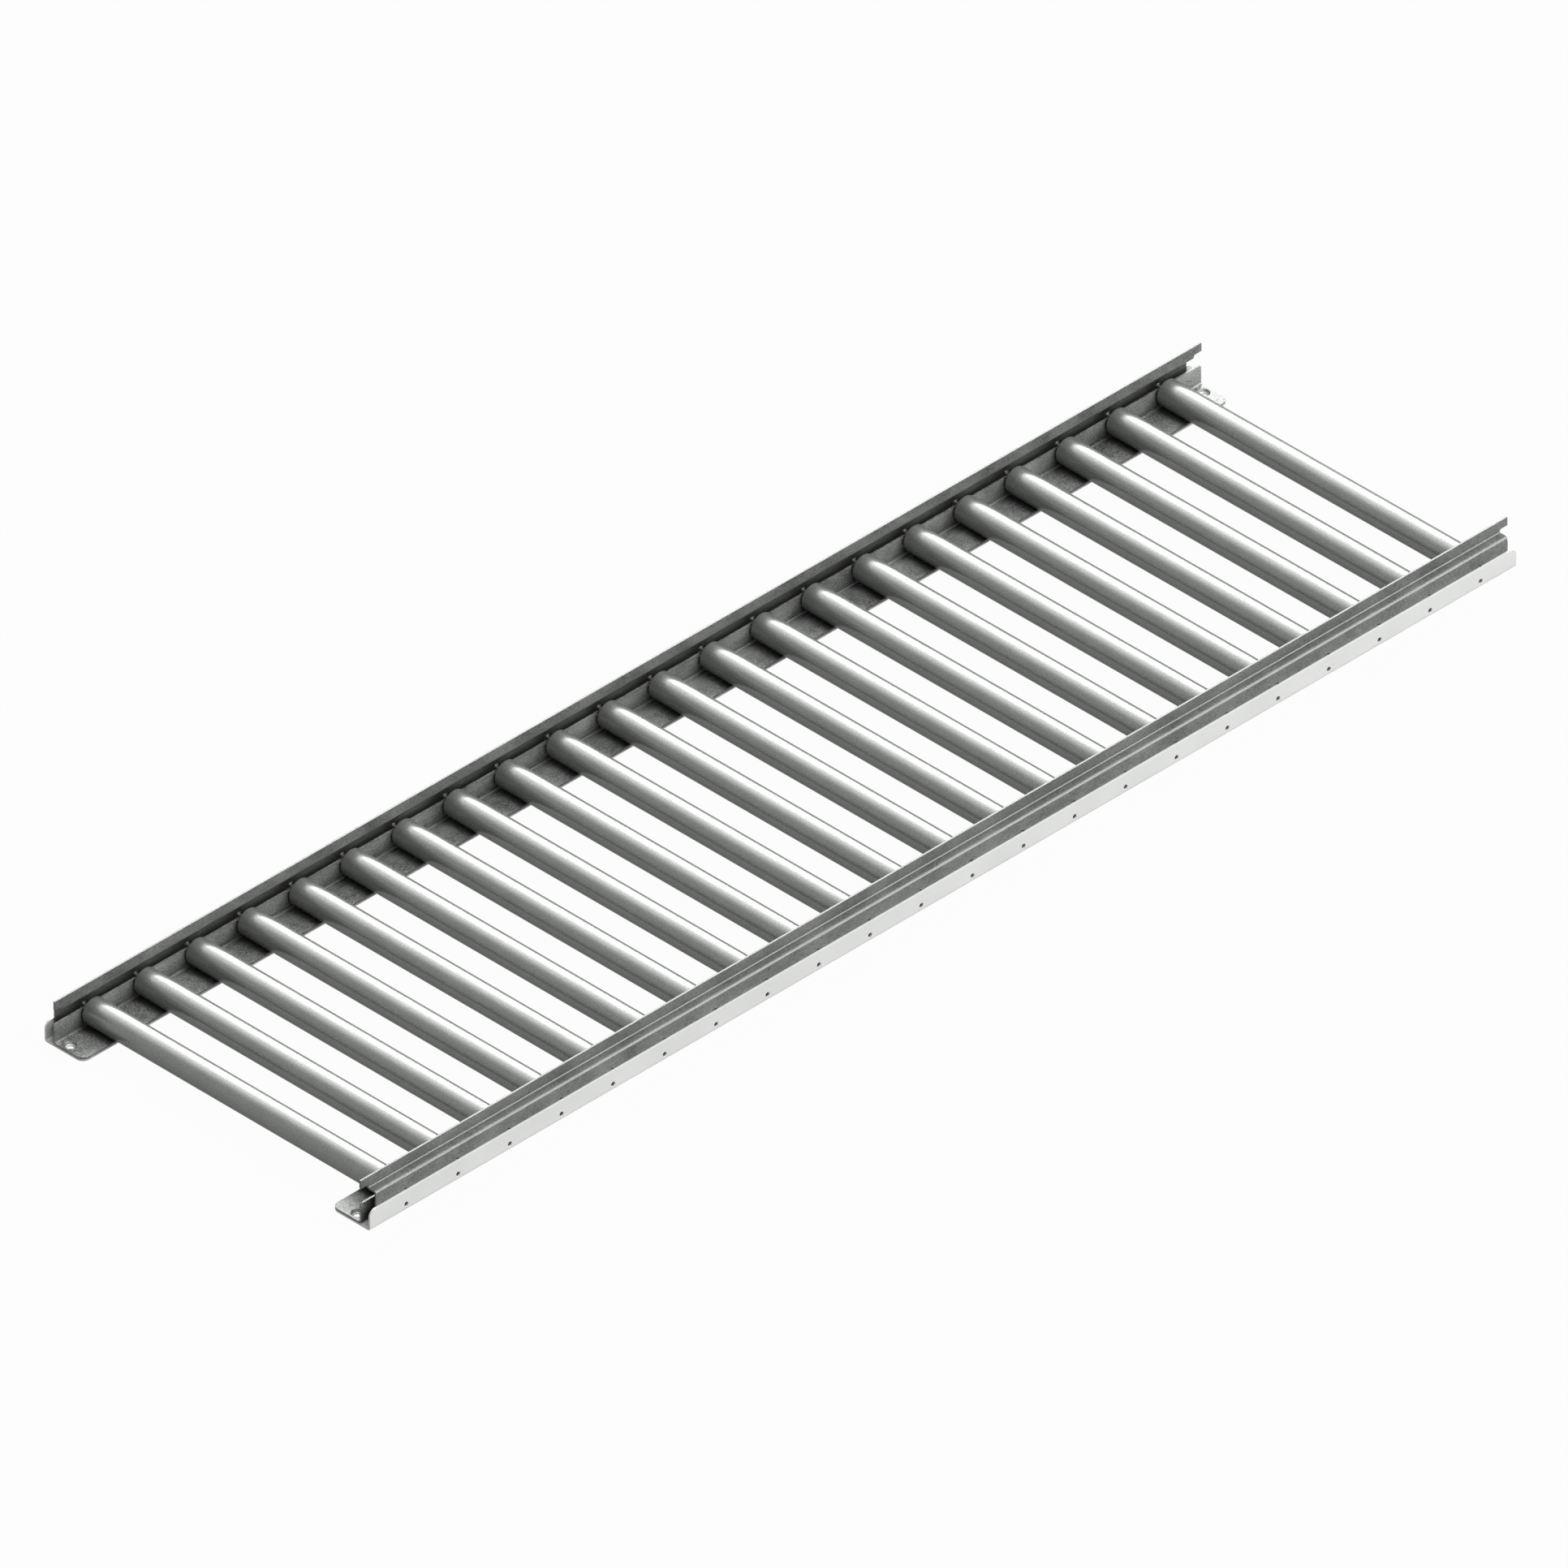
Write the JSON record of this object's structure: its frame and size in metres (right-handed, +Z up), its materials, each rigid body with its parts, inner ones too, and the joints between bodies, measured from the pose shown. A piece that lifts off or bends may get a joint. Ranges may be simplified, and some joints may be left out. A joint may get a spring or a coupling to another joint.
{
  "type": "flow rack roller track",
  "caption": "Low roller track for a flow rack: a row of full-width steel tube rollers on plain axles between two nested sheet-metal side rails with upright guide flanges.",
  "frame": {"origin": "middle of the underside, between the two base angles, on the surface that the track rests on", "axes": "+X along the track in the direction in which goods travel either way, +Y across the track, +Z up, out of the roller plane"},
  "size_m": [1.494, 0.424, 0.0506],
  "materials": {
    "base_sheet": "bright matte zinc on sheet steel",
    "rail_sheet": "galvanised sheet steel, satin",
    "tube_steel": "zinc-plated tube, drawn, satin gloss",
    "axle_steel": "bright drawn steel",
    "bearing_steel": "plated bearing steel"
  },
  "bodies": {
    "frame": {"base_angle_near": "base_sheet", "base_angle_far": "base_sheet", "roller_angle_near": "rail_sheet", "roller_angle_far": "rail_sheet", "guide_rail_near": "rail_sheet", "guide_rail_far": "rail_sheet", "axles": "axle_steel", "bearing_cones": "bearing_steel", "bearing_balls": "bearing_steel"},
    "roller_01": {"roller_tube_01": "tube_steel", "bearing_cups_01": "bearing_steel"},
    "roller_02": {"roller_tube_02": "tube_steel", "bearing_cups_02": "bearing_steel"},
    "roller_03": {"roller_tube_03": "tube_steel", "bearing_cups_03": "bearing_steel"},
    "roller_04": {"roller_tube_04": "tube_steel", "bearing_cups_04": "bearing_steel"},
    "roller_05": {"roller_tube_05": "tube_steel", "bearing_cups_05": "bearing_steel"},
    "roller_06": {"roller_tube_06": "tube_steel", "bearing_cups_06": "bearing_steel"},
    "roller_07": {"roller_tube_07": "tube_steel", "bearing_cups_07": "bearing_steel"},
    "roller_08": {"roller_tube_08": "tube_steel", "bearing_cups_08": "bearing_steel"},
    "roller_09": {"roller_tube_09": "tube_steel", "bearing_cups_09": "bearing_steel"},
    "roller_10": {"roller_tube_10": "tube_steel", "bearing_cups_10": "bearing_steel"},
    "roller_11": {"roller_tube_11": "tube_steel", "bearing_cups_11": "bearing_steel"},
    "roller_12": {"roller_tube_12": "tube_steel", "bearing_cups_12": "bearing_steel"},
    "roller_13": {"roller_tube_13": "tube_steel", "bearing_cups_13": "bearing_steel"},
    "roller_14": {"roller_tube_14": "tube_steel", "bearing_cups_14": "bearing_steel"},
    "roller_15": {"roller_tube_15": "tube_steel", "bearing_cups_15": "bearing_steel"},
    "roller_16": {"roller_tube_16": "tube_steel", "bearing_cups_16": "bearing_steel"},
    "roller_17": {"roller_tube_17": "tube_steel", "bearing_cups_17": "bearing_steel"},
    "roller_18": {"roller_tube_18": "tube_steel", "bearing_cups_18": "bearing_steel"},
    "roller_19": {"roller_tube_19": "tube_steel", "bearing_cups_19": "bearing_steel"},
    "roller_20": {"roller_tube_20": "tube_steel", "bearing_cups_20": "bearing_steel"},
    "roller_21": {"roller_tube_21": "tube_steel", "bearing_cups_21": "bearing_steel"},
    "roller_22": {"roller_tube_22": "tube_steel", "bearing_cups_22": "bearing_steel"}
  },
  "joints": [
    {"name": "roller_01_spin", "type": "hinge", "parent": "frame", "child": "roller_01", "pos_m": [-0.7, 0, 0.019], "axis": [0, 1, 0], "continuous": true},
    {"name": "roller_02_spin", "type": "hinge", "parent": "frame", "child": "roller_02", "pos_m": [-0.63333, 0, 0.019], "axis": [0, 1, 0], "continuous": true},
    {"name": "roller_03_spin", "type": "hinge", "parent": "frame", "child": "roller_03", "pos_m": [-0.56667, 0, 0.019], "axis": [0, 1, 0], "continuous": true},
    {"name": "roller_04_spin", "type": "hinge", "parent": "frame", "child": "roller_04", "pos_m": [-0.5, 0, 0.019], "axis": [0, 1, 0], "continuous": true},
    {"name": "roller_05_spin", "type": "hinge", "parent": "frame", "child": "roller_05", "pos_m": [-0.43333, 0, 0.019], "axis": [0, 1, 0], "continuous": true},
    {"name": "roller_06_spin", "type": "hinge", "parent": "frame", "child": "roller_06", "pos_m": [-0.36667, 0, 0.019], "axis": [0, 1, 0], "continuous": true},
    {"name": "roller_07_spin", "type": "hinge", "parent": "frame", "child": "roller_07", "pos_m": [-0.3, 0, 0.019], "axis": [0, 1, 0], "continuous": true},
    {"name": "roller_08_spin", "type": "hinge", "parent": "frame", "child": "roller_08", "pos_m": [-0.23333, 0, 0.019], "axis": [0, 1, 0], "continuous": true},
    {"name": "roller_09_spin", "type": "hinge", "parent": "frame", "child": "roller_09", "pos_m": [-0.16667, 0, 0.019], "axis": [0, 1, 0], "continuous": true},
    {"name": "roller_10_spin", "type": "hinge", "parent": "frame", "child": "roller_10", "pos_m": [-0.1, 0, 0.019], "axis": [0, 1, 0], "continuous": true},
    {"name": "roller_11_spin", "type": "hinge", "parent": "frame", "child": "roller_11", "pos_m": [-0.03333, 0, 0.019], "axis": [0, 1, 0], "continuous": true},
    {"name": "roller_12_spin", "type": "hinge", "parent": "frame", "child": "roller_12", "pos_m": [0.03333, 0, 0.019], "axis": [0, 1, 0], "continuous": true},
    {"name": "roller_13_spin", "type": "hinge", "parent": "frame", "child": "roller_13", "pos_m": [0.1, 0, 0.019], "axis": [0, 1, 0], "continuous": true},
    {"name": "roller_14_spin", "type": "hinge", "parent": "frame", "child": "roller_14", "pos_m": [0.16667, 0, 0.019], "axis": [0, 1, 0], "continuous": true},
    {"name": "roller_15_spin", "type": "hinge", "parent": "frame", "child": "roller_15", "pos_m": [0.23333, 0, 0.019], "axis": [0, 1, 0], "continuous": true},
    {"name": "roller_16_spin", "type": "hinge", "parent": "frame", "child": "roller_16", "pos_m": [0.3, 0, 0.019], "axis": [0, 1, 0], "continuous": true},
    {"name": "roller_17_spin", "type": "hinge", "parent": "frame", "child": "roller_17", "pos_m": [0.36667, 0, 0.019], "axis": [0, 1, 0], "continuous": true},
    {"name": "roller_18_spin", "type": "hinge", "parent": "frame", "child": "roller_18", "pos_m": [0.43333, 0, 0.019], "axis": [0, 1, 0], "continuous": true},
    {"name": "roller_19_spin", "type": "hinge", "parent": "frame", "child": "roller_19", "pos_m": [0.5, 0, 0.019], "axis": [0, 1, 0], "continuous": true},
    {"name": "roller_20_spin", "type": "hinge", "parent": "frame", "child": "roller_20", "pos_m": [0.56667, 0, 0.019], "axis": [0, 1, 0], "continuous": true},
    {"name": "roller_21_spin", "type": "hinge", "parent": "frame", "child": "roller_21", "pos_m": [0.63333, 0, 0.019], "axis": [0, 1, 0], "continuous": true},
    {"name": "roller_22_spin", "type": "hinge", "parent": "frame", "child": "roller_22", "pos_m": [0.7, 0, 0.019], "axis": [0, 1, 0], "continuous": true}
  ]
}
